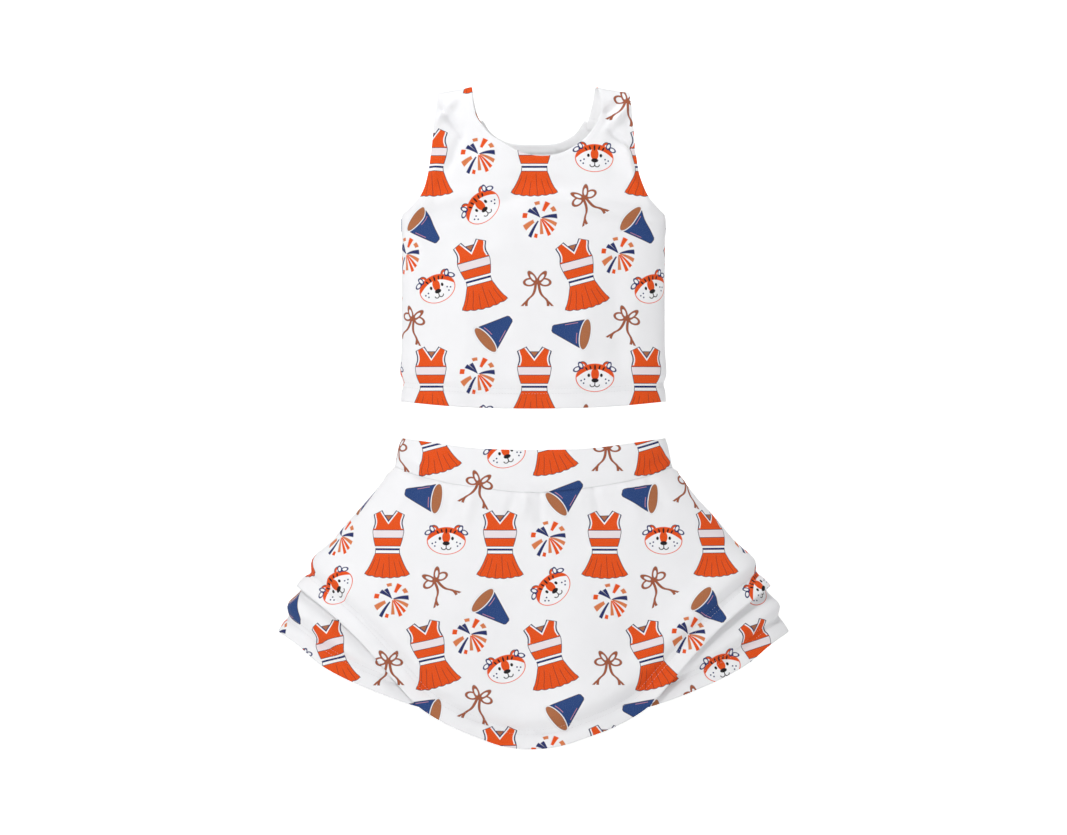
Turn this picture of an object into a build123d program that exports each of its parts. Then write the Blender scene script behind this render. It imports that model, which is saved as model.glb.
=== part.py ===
from build123d import *
import os

# A two-piece knit uniform for a child: a cropped sleeveless top over a flared skirt.
# Millimetres. +Z is up, -Y is the front, +X is the wearer's left.
# The origin is the middle of the skirt's waist opening, level with its front top edge.

os.makedirs("parts", exist_ok=True)

# Cloth
knit = 1.2  # one layer of knit
air = 0.1  # layers that are sewn together lie this far apart
facing = 0.9  # a turned edge is pressed thinner than a free layer
elastic = 1.3
thread = 0.4
first_row = 15.5  # the lower of the two rows of hem stitching stands this far above the edge
needle_gap = 5.0  # between the two rows
row_width = 0.8
reach = 260.0  # longer than any piece is deep

# Top
chest_half_width = 142.0
chest_half_depth = 46.0
armpit_height = 253.0
shoulder_height = 391.0
top_hem_height = 45.0  # the bottom edge at centre front
top_hem_depth = 22.0
neck_drop = 60.0  # from the shoulder down to the back neckline
front_neck_extra = 4.0  # the front neckline is this much lower
neck_turn = 9.0  # width of the turned edge at the neck and armholes
band_top = 249.0  # top edge of the back band at its centre
band_casing_depth = 22.0
arch_top = 306.0
arch_half_width = 85.0
strap_seam_height = 352.0

# Skirt
waist_half_width = 142.0
waist_half_depth = 46.5
band_height = 45.0
band_side_height = 30.0
seam_half_width = 149.5
overlay_corner_x = 252.0
overlay_corner_z = -146.0
overlay_drop = 317.0
under_corner_x = 274.0
under_corner_z = -194.0
under_drop = 286.0
back_drop = 4.0  # the back hangs this much lower at its centre
skirt_hem_depth = 22.0
under_gap = 4.6  # from the overlay's face in to the under layer's face

# Horizontal sections of the two forms: height, half width, half depth
torso_sections = [
    (30, chest_half_width, chest_half_depth),
    (100, chest_half_width, chest_half_depth + 1),
    (170, chest_half_width, chest_half_depth),
    (230, chest_half_width, chest_half_depth - 2),
    (262, chest_half_width - 0.5, chest_half_depth - 5),
    (290, chest_half_width - 1, chest_half_depth - 9),
    (315, chest_half_width - 2, chest_half_depth - 13.5),
    (335, chest_half_width - 3, chest_half_depth - 18),
    (352, chest_half_width - 4, chest_half_depth - 23),
    (366, chest_half_width - 5, chest_half_depth - 28),
    (377, chest_half_width - 6, chest_half_depth - 33),
    (385, chest_half_width - 7, chest_half_depth - 38),
]
skirt_sections = [
    (18, waist_half_width - 0.5, waist_half_depth - 0.5),
    (0, 144.5, 48.5),
    (-18, seam_half_width, 51.0),
    (-33, 161.5, 53.5),
    (-50, 175.5, 57.0),
    (-75, 198.0, 61.5),
    (-110, 226.5, 68.5),
    (overlay_corner_z, overlay_corner_x + 0.5, 77.0),
    (under_corner_z - 6, under_corner_x + under_gap + 2, 89.0),
    (-240, 292.0, 98.0),
    (-290, 304.0, 108.0),
    (-340, 314.0, 117.0),
]


# ---- Helpers ----
def form(sections, inset, roof=None):
    """A solid through the sections, drawn in by inset, with a roof at an optional height."""
    with BuildPart() as solid:
        for height, half_x, half_y in sections:
            with BuildSketch(Plane.XY.offset(height)):
                Ellipse(half_x - inset, half_y - inset)
        if roof is not None:
            with BuildSketch(Plane.XY.offset(roof - inset)):
                Ellipse(sections[-1][1] - 1 - inset, 3.4)
        loft(ruled=True)
    return solid.part


def layer(sections, inset, thick, roof=None):
    """A shell of one thickness, its outer face drawn in by inset from the form."""
    with BuildPart() as shell:
        add(form(sections, inset, roof))
        add(form(sections, inset + thick, roof), mode=Mode.SUBTRACT)
    return shell.part


def mirrored(points):
    """Points from x = 0 outwards, joined to their mirror image: from -x to +x."""
    left = [(-x, z) for x, z in reversed(points) if x > 0]
    return left + list(points)


def flipped(points):
    """The mirror image of a curve, run the other way."""
    return [(-x, z) for x, z in reversed(points)]


def raised(points, lift):
    """The same curve, moved up."""
    return [(x, z + lift) for x, z in points]


def closed(*curves):
    """The curves in order, each joined to the next by a straight line."""
    runs = []
    for index, curve in enumerate(curves):
        follower = curves[(index + 1) % len(curves)]
        if len(curve) > 1:
            runs.append(list(curve))
        if curve[-1] != follower[0]:
            runs.append([curve[-1], follower[0]])
    return runs


def strip(low, high):
    """The outline between a low curve and a high one, both from -x to +x."""
    return closed(low, list(reversed(high)))


def panel(shell, runs, side, label):
    """A piece of a shell, cut to an outline on the front (+1) or the back (-1)."""
    with BuildPart() as piece:
        add(shell)
        with BuildSketch(Plane.XZ):
            with BuildLine():
                for run in runs:
                    if len(run) == 2:
                        Line(run[0], run[1])
                    else:
                        Spline(*run)
            make_face()
        extrude(amount=side * reach, mode=Mode.INTERSECT)
    piece.part.label = label
    return piece


def tape(shell, half_wide, low, high, side, label):
    """A strip of a shell that runs down one side seam, from height low to high."""
    with BuildPart() as piece:
        add(shell)
        with Locations((side * reach / 2 + side * 20, 0, (low + high) / 2)):
            Box(reach, 2 * half_wide, high - low, mode=Mode.INTERSECT)
    piece.part.label = label
    return piece


def write(piece):
    """Write one finished piece under its own name."""
    name = piece.part.label
    export_step(piece.part, f"parts/{name}.step")
    print(name, len(piece.part.solids()), round(piece.part.volume))


FRONT = 1  # outlines lie on Plane.XZ, whose normal points to the front
BACK = -1


# ---- The top's lines ----
def top_hem(lift):
    """The bottom edge of the top, a little higher at the sides."""
    low = top_hem_height + lift
    return mirrored([(0, low), (50, low + 0.7), (90, low + 2.6), (142, low + 7.5), (165, low + 9.5)])


def neck_half(extra, grow=0.0):
    """Half of the neckline, from centre out to the shoulder; grow widens it."""
    low = shoulder_height - neck_drop - extra - grow
    return [
        (0, low),
        (33 + grow * 0.4, low + 4),
        (47 + grow * 0.8, low + 13),
        (57 + grow, low + 26),
        (64 + grow, low + 41),
        (66 + grow, low + 56),
        (67 + grow, low + 78),
    ]


def armhole_half(grow=0.0):
    """The front armhole from the armpit up to the shoulder; grow moves it inwards."""
    foot = armpit_height - grow
    return [
        (165, foot - 1),
        (142, foot),
        (123 - grow * 0.6, foot + 19),
        (114 - grow, foot + 42),
        (110 - grow, foot + 67),
        (107 - grow, foot + 97),
        (104 - grow, foot + 125),
        (103 - grow, foot + 150),
    ]


def yoke_half(grow=0.0):
    """The back yoke's outer edge, narrowest just under the strap seam."""
    foot = armpit_height
    return [
        (120 - grow, band_top + 3.3),
        (104 - grow, foot + 15),
        (85 - grow, foot + 38),
        (77 - grow, foot + 62),
        (78 - grow, foot + 84),
        (84 - grow, foot + 101),
    ]


def arch(grow=0.0):
    """The cut-out between the yoke and the back band, from -x to +x."""
    foot = band_top + 1.5
    rise = arch_top - foot
    wide = arch_half_width + grow
    return mirrored(
        [
            (0, foot + rise + grow),
            (wide * 0.3, foot + rise * 0.95 + grow),
            (wide * 0.57, foot + rise * 0.73 + grow * 0.9),
            (wide * 0.81, foot + rise * 0.4 + grow * 0.5),
            (wide, foot),
        ]
    )


def band_edge(lift):
    """The top edge of the back band."""
    low = band_top + lift
    return mirrored([(0, low), (70, low + 0.8), (120, low + 2.8), (142, low + 4), (165, low + 5)])


# ---- The top's cloth ----
torso_skin = layer(torso_sections, 0, knit, shoulder_height)
torso_turn = layer(torso_sections, knit + air, facing, shoulder_height)

front_neck = mirrored(neck_half(front_neck_extra))
front_armhole = armhole_half()
top_front_panel = panel(
    torso_skin,
    closed(top_hem(0), front_armhole, list(reversed(front_neck)), flipped(front_armhole)),
    FRONT,
    "top_front_panel",
)
write(top_front_panel)


def strap_back(side, label):
    """The end of a front strap that comes over the shoulder, down to the strap seam."""
    inner = [(67, shoulder_height + 10), (63, strap_seam_height + 22), (58, strap_seam_height + 0.1)]
    outer = [(84, strap_seam_height + 0.1), (92, strap_seam_height + 22), (103, shoulder_height + 10)]
    if side < 0:
        inner, outer = flipped(outer), flipped(inner)
    return panel(torso_skin, closed(inner, outer), BACK, label)


strap_back_left = strap_back(1, "strap_back_left")
write(strap_back_left)
strap_back_right = strap_back(-1, "strap_back_right")
write(strap_back_right)

back_neck = mirrored([(x, z) for x, z in neck_half(0)[:4]] + [(58, strap_seam_height)])
yoke_edge = yoke_half()[:-1] + [(84, strap_seam_height)]
top_back_yoke = panel(
    torso_skin,
    closed(
        [(arch_half_width, band_top + 1.5), (120, band_top + 3.3)],
        yoke_edge,
        list(reversed(back_neck)),
        flipped(yoke_edge),
        [(-120, band_top + 3.3), (-arch_half_width, band_top + 1.5)],
        arch(),
    ),
    BACK,
    "top_back_yoke",
)
write(top_back_yoke)

top_back_band = panel(
    torso_skin,
    strip(top_hem(0), band_edge(0)),
    BACK,
    "top_back_band",
)
write(top_back_band)


# ---- The top's turned edges, elastic and seams ----
for side, name in ((FRONT, "top_front_hem"), (BACK, "top_back_hem")):
    write(panel(torso_turn, strip(top_hem(0.4), top_hem(top_hem_depth)), side, name))

neck_edge_front = panel(
    torso_turn,
    strip(mirrored(neck_half(front_neck_extra, neck_turn)), mirrored(neck_half(front_neck_extra, 0.3))),
    FRONT,
    "neck_edge_front",
)
write(neck_edge_front)

back_neck_out = mirrored([(x, z) for x, z in neck_half(0, neck_turn)[:4]] + [(67, strap_seam_height - 0.3)])
back_neck_in = mirrored([(x, z) for x, z in neck_half(0, 0.3)[:4]] + [(58.3, strap_seam_height - 0.3)])
neck_edge_back = panel(torso_turn, strip(back_neck_out, back_neck_in), BACK, "neck_edge_back")
write(neck_edge_back)

armhole_turn = closed(armhole_half(0.3), list(reversed(armhole_half(neck_turn))))
write(panel(torso_turn, armhole_turn, FRONT, "armhole_edge_left"))
armhole_turn = closed(flipped(armhole_half(0.3)), list(reversed(flipped(armhole_half(neck_turn)))))
write(panel(torso_turn, armhole_turn, FRONT, "armhole_edge_right"))

yoke_turn = closed(yoke_half(0.3)[:-1], list(reversed(yoke_half(neck_turn - 2)[:-1])))
write(panel(torso_turn, yoke_turn, BACK, "yoke_edge_left"))
yoke_turn = closed(flipped(yoke_half(0.3)[:-1]), list(reversed(flipped(yoke_half(neck_turn - 2)[:-1]))))
write(panel(torso_turn, yoke_turn, BACK, "yoke_edge_right"))
write(panel(torso_turn, closed(arch(0.3), list(reversed(arch(neck_turn - 2)))), BACK, "arch_edge"))

low_sections = torso_sections[:6]
casing_inset = knit + air + elastic + air
band_elastic = panel(
    layer(low_sections, knit + air, elastic),
    strip(band_edge(-band_casing_depth + 1.5), band_edge(-1.5)),
    BACK,
    "band_elastic",
)
write(band_elastic)
band_casing = panel(
    layer(low_sections, casing_inset, facing),
    strip(band_edge(-band_casing_depth - 3), band_edge(-0.4)),
    BACK,
    "band_casing",
)
write(band_casing)

strap_seam_shell = layer(torso_sections, knit + air + facing + air, facing)
seam_low = strap_seam_height - 6
seam_high = strap_seam_height + 6
for side, name in ((1, "strap_seam_left"), (-1, "strap_seam_right")):
    near = side * 59
    far = side * 80
    corners = [(near, seam_low), (far, seam_low), (far, seam_high), (near, seam_high)]
    write(panel(strap_seam_shell, closed(*[[corner] for corner in corners]), BACK, name))

side_shell = layer(low_sections, casing_inset + facing + air, facing)
for side, name in ((1, "top_side_seam_left"), (-1, "top_side_seam_right")):
    write(tape(side_shell, 4.0, top_hem_height + 12, armpit_height - 6, side, name))


# ---- The top's stitching ----
def row(shell, line, lift, side, name):
    """One row of thread along a line, lifted from the edge."""
    write(panel(shell, strip(line(lift - row_width / 2), line(lift + row_width / 2)), side, name))


torso_face = layer(low_sections, -thread, thread)
for side, name in ((FRONT, "top_front_hem_stitch"), (BACK, "top_back_hem_stitch")):
    row(torso_face, top_hem, first_row, side, name + "_low")
    row(torso_face, top_hem, first_row + needle_gap, side, name + "_high")
row(torso_face, band_edge, -band_casing_depth, BACK, "band_casing_stitch")


# ---- The skirt's lines ----
def waist_top(drop, lift=0.0):
    """The top edge of the waistband, higher at the sides."""
    return mirrored(
        [
            (0, lift - drop),
            (64, lift + 2 - drop * 0.75),
            (114, lift + 8.5 - drop * 0.3),
            (142, lift + 12.5),
            (165, lift + 15),
        ]
    )


def waist_seam(drop, lift=0.0):
    """The seam under the waistband."""
    side = waist_top(0, lift)[-2][1] - band_side_height
    return mirrored(
        [
            (0, lift - band_height - drop),
            (52, lift - band_height + 4.5 - drop * 0.85),
            (111, lift - band_height + 14.5 - drop * 0.35),
            (seam_half_width, side),
            (178, side + 10),
        ]
    )


def overlay_hem(drop, lift=0.0):
    """The overlay's curved hem, lowest at the centre and cut away to the side seams."""
    low = lift - overlay_drop
    side = lift + overlay_corner_z
    return mirrored(
        [
            (0, low - drop),
            (30, low + 3 - drop),
            (58, low + 12 - drop),
            (94, low + 27 - drop * 0.9),
            (125, low + 47 - drop * 0.75),
            (148, low + 72 - drop * 0.6),
            (171, low + 98 - drop * 0.5),
            (188, low + 116 - drop * 0.4),
            (210, low + 136 - drop * 0.25),
            (overlay_corner_x - 22, side - 19),
            (overlay_corner_x, side),
            (overlay_corner_x + 30, side + 25),
        ]
    )


def under_hem(drop, lift=0.0):
    """The under layer's hem, which shows below the overlay at the sides."""
    low = lift - under_drop
    side = lift + under_corner_z
    return mirrored(
        [
            (0, low - drop),
            (45, low + 2 - drop),
            (90, low + 7 - drop),
            (130, low + 16 - drop),
            (171, low + 30 - drop),
            (200, low + 42 - drop),
            (232, low + 59 - drop * 0.5),
            (256, side - 14),
            (under_corner_x, side),
            (under_corner_x + 30, side + 20),
        ]
    )


# ---- The waistband ----
skirt_skin = layer(skirt_sections, 0, knit)
waist_sections = skirt_sections[:7]
lining_inset = knit + air + elastic + air
lining_shell = layer(waist_sections, lining_inset, knit)
spacer = under_gap - knit - 2 * air
spacer_shell = layer(waist_sections, knit + air, spacer)

band_drops = ((FRONT, "front", 0.0, 0.0), (BACK, "back", 7.5, 5.0))
for side, name, top_drop, seam_drop in band_drops:
    seam_line = waist_seam(seam_drop)
    top_line = waist_top(top_drop)
    write(panel(skirt_skin, strip(seam_line, top_line), side, "waistband_" + name))
    lining_line = strip(raised(seam_line, 0.4), raised(top_line, -0.4))
    write(panel(lining_shell, lining_line, side, "waistband_lining_" + name))
    seam_strip = strip(raised(seam_line, -9), raised(seam_line, -0.4))
    write(panel(spacer_shell, seam_strip, side, "waist_seam_" + name))

with BuildPart() as waist_elastic:
    add(layer(waist_sections, knit + air, elastic))
    with BuildSketch(Plane.XZ):
        with BuildLine():
            for run in strip(waist_seam(0, 3), waist_top(7.5, -2)):
                if len(run) == 2:
                    Line(run[0], run[1])
                else:
                    Spline(*run)
        make_face()
    extrude(amount=reach, both=True, mode=Mode.INTERSECT)
waist_elastic.part.label = "waist_elastic"
write(waist_elastic)


# ---- The two skirt layers, their hems and stitching ----
overlay_turn = layer(skirt_sections, knit + air, facing)
overlay_face = layer(skirt_sections, -thread, thread)
under_skin = layer(skirt_sections, under_gap, knit)
under_turn = layer(skirt_sections, under_gap + knit + air, facing)
under_face = layer(skirt_sections, under_gap - thread, thread)


def skirt_layer(skin, turn, face, hem, side, name, drop, seam_line):
    """One layer of the skirt on one side: the panel, its turned hem and two rows of stitching."""
    write(panel(skin, strip(hem(drop), seam_line), side, f"{name}_panel"))
    write(panel(turn, strip(hem(drop, 0.4), hem(drop, skirt_hem_depth)), side, f"{name}_hem"))
    for rise, mark in ((first_row, "low"), (first_row + needle_gap, "high")):
        line = strip(hem(drop, rise - row_width / 2), hem(drop, rise + row_width / 2))
        write(panel(face, line, side, f"{name}_hem_stitch_{mark}"))


for side, name, top_drop, seam_drop in band_drops:
    hang = 0.0 if side == FRONT else back_drop
    seam_line = waist_seam(seam_drop, -0.1)
    skirt_layer(skirt_skin, overlay_turn, overlay_face, overlay_hem, side, "overlay_" + name, hang, seam_line)
    skirt_layer(under_skin, under_turn, under_face, under_hem, side, "under_" + name, hang, seam_line)

overlay_seam_shell = layer(skirt_sections, knit + air + facing + air, facing)
under_seam_shell = layer(skirt_sections, under_gap + knit + air + facing + air, facing)
for side, name in ((1, "left"), (-1, "right")):
    write(tape(overlay_seam_shell, 5.0, overlay_corner_z + 4, -55, side, "overlay_side_seam_" + name))
    write(tape(under_seam_shell, 5.0, under_corner_z + 4, -55, side, "under_side_seam_" + name))
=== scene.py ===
import functools
import math

import bpy
import numpy as np
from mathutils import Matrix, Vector
from mathutils.geometry import delaunay_2d_cdt


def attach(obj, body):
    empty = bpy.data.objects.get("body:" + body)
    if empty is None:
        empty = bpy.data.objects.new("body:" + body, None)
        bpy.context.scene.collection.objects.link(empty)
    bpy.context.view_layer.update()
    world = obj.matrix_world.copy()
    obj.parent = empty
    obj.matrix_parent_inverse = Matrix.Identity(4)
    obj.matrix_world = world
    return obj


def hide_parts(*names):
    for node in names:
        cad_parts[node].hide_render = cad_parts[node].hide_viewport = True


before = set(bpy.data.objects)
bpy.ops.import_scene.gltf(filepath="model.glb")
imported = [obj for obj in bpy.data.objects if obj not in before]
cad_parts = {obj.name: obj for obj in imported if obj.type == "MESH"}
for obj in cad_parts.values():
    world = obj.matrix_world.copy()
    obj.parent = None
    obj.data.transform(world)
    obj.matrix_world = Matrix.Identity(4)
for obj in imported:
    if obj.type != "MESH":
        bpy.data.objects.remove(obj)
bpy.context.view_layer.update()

# Lengths below are in millimetres and turned into metres where meshes are made.
MM = 0.001
KNIT = 1.2  # one layer of knit
AIR = 0.1  # layers that are sewn together lie this far apart
FACING = 0.9  # a turned edge is pressed thinner than a free layer
ELASTIC = 1.3
HALF_CHEST = 142.0
SHOULDER = 392.0
ARMPIT = 253.0
TOP_HEM = 45.0
BAND_TOP = 249.0
CASING = 22.0
ARCH_TOP = 306.0
ARCH_HALF = 85.0
STRAP_SEAM = 352.0
HEM_DEPTH = 22.0
ROWS = (15.5, 20.5)  # the two rows of hem stitching, from the edge
TILE = 236.5  # the print repeats after this much, both ways


def mesh_object(name, verts, faces, *materials):
    mesh = bpy.data.meshes.new(name)
    mesh.from_pydata(np.asarray(verts).tolist(), [], faces)
    mesh.polygons.foreach_set("use_smooth", [True] * len(faces))
    for mat in materials:
        mesh.materials.append(mat)
    obj = bpy.data.objects.new(name, mesh)
    bpy.context.collection.objects.link(obj)
    return obj


# ---------------------------------------------------------------- camera, light, stage
# In metres, from the middle of the skirt's waist.
FLOOR_Z = -0.62
FLOOR_REACH = 11.6  # the flat part's radius
COVE = 1.8  # radius of the curve from floor to wall
RIM_Z = 3.4
WASH_FROM_TO = (0.5, 3.2)  # the paper starts to glow at the first distance and glows fully at the second
WASH = 0.66
LENS = 200  # mm
VIEW_WIDTH = 1.15236  # what the camera takes in at the set, side to side
EYE_Z = 0.035


def look_at(obj, target):
    obj.rotation_euler = (Vector(target) - obj.location).to_track_quat("-Z", "Y").to_euler()


def make_camera():
    data = bpy.data.cameras.new("camera")
    data.lens = LENS
    data.sensor_width = 36
    data.clip_end = 60
    cam = bpy.data.objects.new("camera", data)
    bpy.context.collection.objects.link(cam)
    cam.location = (0.0, -VIEW_WIDTH * LENS / data.sensor_width, EYE_Z)
    look_at(cam, (0.0, 0.0, EYE_Z))
    bpy.context.scene.camera = cam


def area_light(name, where, size, power, target=(0, 0, 0.03)):
    data = bpy.data.lights.new(name, "AREA")
    data.size = size
    data.energy = power
    lamp = bpy.data.objects.new(name, data)
    bpy.context.collection.objects.link(lamp)
    lamp.location = where
    look_at(lamp, target)


def make_stage():
    """A pale round floor that curves up into a low wall, far enough out to walk round the set."""
    sides = 96
    profile = [(FLOOR_REACH / 2, FLOOR_Z)]
    for i in range(17):
        turn = i / 16 * math.pi / 2
        profile.append((FLOOR_REACH + COVE * math.sin(turn), FLOOR_Z + COVE - COVE * math.cos(turn)))
    profile.append((FLOOR_REACH + COVE, RIM_Z))
    verts = [(0.0, 0.0, FLOOR_Z)]
    for reach, z in profile:
        for k in range(sides):
            turn = 2 * math.pi * k / sides
            verts.append((reach * math.cos(turn), reach * math.sin(turn), z))
    faces = [(0, 1 + k, 1 + (k + 1) % sides) for k in range(sides)]
    for i in range(len(profile) - 1):
        for k in range(sides):
            a, b = 1 + i * sides + k, 1 + i * sides + (k + 1) % sides
            faces.append((a, a + sides, b + sides, b))
    paper = bpy.data.materials.new("floor")
    paper.use_nodes = True
    nodes, links = paper.node_tree.nodes, paper.node_tree.links
    shader = nodes["Principled BSDF"]
    shader.inputs["Base Color"].default_value = (0.88, 0.88, 0.88, 1)
    shader.inputs["Roughness"].default_value = 0.8
    kinds = ("NewGeometry", "VectorMath", "MapRange")
    place, reach, wash = (nodes.new("ShaderNode" + kind) for kind in kinds)
    reach.operation = "LENGTH"
    wash.interpolation_type = "SMOOTHSTEP"
    for socket, value in zip(list(wash.inputs)[1:5], (*WASH_FROM_TO, 0.0, WASH)):
        socket.default_value = value
    links.new(place.outputs["Position"], reach.inputs[0])
    links.new(reach.outputs["Value"], wash.inputs["Value"])
    links.new(wash.outputs[0], shader.inputs["Emission Strength"])
    shader.inputs["Emission Color"].default_value = (1, 1, 1, 1)
    mesh_object("floor", verts, faces, paper)


def make_light():
    world = bpy.data.worlds.new("studio")
    bpy.context.scene.world = world
    world.use_nodes = True
    back = world.node_tree.nodes["Background"]
    back.inputs["Color"].default_value = (1, 1, 1, 1)
    back.inputs["Strength"].default_value = 0.18
    area_light("overhead", (-0.3, -0.2, 4.2), 2.4, 84, (0, 0, 0))
    area_light("key", (-1.5, -2.7, 2.4), 0.6, 47)
    area_light("rear", (0.75, 3.3, 0.5), 0.6, 38)
    bpy.context.scene.view_settings.view_transform = "Standard"


make_camera()
make_light()
make_stage()


# ---------------------------------------------------------------- smooth numbers
def hermite(xs, ys, x):
    """A smooth curve through (xs, ys), read at x."""
    xs = np.asarray(xs, float)
    ys = np.asarray(ys, float)
    slope = np.gradient(ys, xs)
    x = np.clip(x, xs[0], xs[-1])
    i = np.clip(np.searchsorted(xs, x) - 1, 0, len(xs) - 2)
    h = xs[i + 1] - xs[i]
    t = (x - xs[i]) / h
    return (
        ys[i] * (1 + 2 * t) * (1 - t) ** 2
        + slope[i] * h * t * (1 - t) ** 2
        + ys[i + 1] * t * t * (3 - 2 * t)
        - slope[i + 1] * h * t * t * (1 - t)
    )


def smooth_step(low, high, x):
    t = np.clip((x - low) / (high - low), 0, 1)
    return t * t * (3 - 2 * t)


def curve(points):
    """A dense smooth polyline through the points."""
    pts = np.array(points, float)
    if len(pts) == 2:
        return pts
    chord = np.r_[0, np.cumsum(np.hypot(*np.diff(pts, axis=0).T))]
    spans = [np.linspace(a, b, 13)[:-1] for a, b in zip(chord, chord[1:])]
    t = np.concatenate([*spans, chord[-1:]])
    return np.stack([hermite(chord, pts[:, k], t) for k in (0, 1)], 1)


def resample(line, step):
    """The polyline in equal steps, ends kept."""
    length = np.r_[0, np.cumsum(np.hypot(*np.diff(line, axis=0).T))]
    n = max(1, int(round(length[-1] / step)))
    t = np.linspace(0, length[-1], n + 1)
    return np.stack([np.interp(t, length, line[:, k]) for k in (0, 1)], 1)


# ---------------------------------------------------------------- the two forms
OVAL = 0.32  # depth over width, for the arc length around a form
_turn = np.linspace(-math.pi / 2, math.pi / 2, 721)
_rate = np.sqrt(np.cos(_turn) ** 2 + (OVAL * np.sin(_turn)) ** 2)
_arc = np.r_[0, np.cumsum((_rate[1:] + _rate[:-1]) / 2 * np.diff(_turn))]
_arc -= _arc[360]


def crease(x, z, x0, z0, x1, z1, wide, high):
    """A soft ridge (or a dip, where high is negative) along a line from (x0, z0) to (x1, z1)."""
    dx, dz = x1 - x0, z1 - z0
    span = math.hypot(dx, dz)
    along = ((x - x0) * dx + (z - z0) * dz) / span
    off = ((x - x0) * dz - (z - z0) * dx) / span
    t = along / span
    taper = smooth_step(-0.15, 0.3, t) * (1 - smooth_step(0.7, 1.15, t))
    return high * taper * np.exp(-((off / wide) ** 2))


class Form:
    """A tube of oval sections. Cloth lies on it by (u, v): u round it from the centre line, v down it."""

    def __init__(self, body, sections, zero, roof=None):
        self.body = body
        rows = sorted(sections)
        self.zs = np.array([r[0] for r in rows], float)
        self.half_x = np.array([r[1] for r in rows], float)
        self.half_y = np.array([r[2] for r in rows], float)
        self.roof = roof
        top = roof if roof is not None else self.zs[-1]
        fine = np.linspace(self.zs[0], top, 4000)
        if roof is not None:
            fine = top - (top - self.zs[0]) * np.linspace(1, 0, 4000) ** 2
        depth = self.depth(fine) * 0.85
        step = np.hypot(np.diff(fine), np.diff(depth))
        length = np.r_[0, np.cumsum(step)]
        self.table_z = fine
        self.table_v = length - np.interp(zero, fine, length) + zero

    def width(self, z):
        return hermite(self.zs, self.half_x, z)

    def depth(self, z):
        b = hermite(self.zs, self.half_y, z)
        if self.roof is None:
            return b
        gap = np.clip(self.roof - z, 0, None)
        closing = 3.55 * np.sqrt(gap)
        mix = smooth_step(335, 372, z)
        return b * (1 - mix) + closing * mix

    def slope(self, x, z):
        """How much lower the shoulder line is away from the neck."""
        if self.roof is None:
            return np.zeros_like(x)
        return 0.17 * np.clip(np.abs(x) - 64, 0, None) * smooth_step(300, 385, z)

    def flat(self, x, z):
        """(x, z) seen from the front, to (u, v) on the cloth."""
        level = z + self.slope(x, z)
        if self.roof is not None:
            level = np.minimum(level, self.roof)
        a = self.width(level)
        turn = np.arcsin(np.clip(x / a, -1, 1))
        return a * np.interp(turn, _turn, _arc), np.interp(level, self.table_z, self.table_v)

    def solid(self, u, v, side):
        """(u, v) to the place on the form and its outward normal. side is +1 front, -1 back."""
        level = np.interp(v, self.table_v, self.table_z)
        a = self.width(level)
        b = self.depth(level)
        turn = np.interp(u / a, _arc, _turn)
        x = a * np.sin(turn)
        y = -side * b * np.cos(turn)
        z = level.copy()
        for _ in range(6):
            z = level - self.slope(x, z)
        e = 0.05
        ga = (self.width(level + e) - self.width(level - e)) / (2 * e)
        safe = np.maximum(b, 0.4)
        gb = (self.depth(level - 2 * e) - self.depth(level)) / (-2 * e)
        gb = np.clip(gb, -12, 12)
        nx = x / a**2
        ny = y / b.clip(0.4) ** 2
        nz = -(x**2) * ga / a**3 - (y**2) * gb / safe**3
        normal = np.stack([nx, ny, nz], 1)
        if self.roof is not None:
            crown = smooth_step(self.roof - 1.2, self.roof, level)[:, None]
            normal /= np.linalg.norm(normal, axis=1)[:, None] + 1e-12
            normal = normal * (1 - crown) + np.array([0, 0, 1.0]) * crown
        normal /= np.linalg.norm(normal, axis=1)[:, None] + 1e-12
        return np.stack([x, y, z], 1), normal


# Oval sections: (height, half width, half depth)
TORSO_SECTIONS = (
    (30, 142, 46), (100, 142, 47), (170, 142, 46), (230, 142, 44), (262, 141.5, 41), (290, 141, 37),
    (315, 140, 32.5), (335, 139, 28), (352, 138, 23), (366, 137, 18), (377, 136, 13), (392, 135, 6),
)  # fmt: skip
SKIRT_SECTIONS = (
    (25, 141, 45.7), (18, 141.5, 46), (0, 144.5, 48.5), (-18, 149.8, 51), (-33, 161.5, 53.5),
    (-50, 175.5, 57), (-75, 198, 61.5), (-110, 226.5, 68.5), (-146, 252.5, 77), (-200, 280.6, 89),
    (-240, 292, 98), (-290, 304, 108), (-345, 315, 118),
)  # fmt: skip
TORSO = Form("top", TORSO_SECTIONS, zero=TOP_HEM, roof=SHOULDER)
SKIRT = Form("skirt", SKIRT_SECTIONS, zero=-100)

TOP_FOLDS, SKIRT_FOLDS = 1.7, 1.8  # how strong the folds below are
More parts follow.
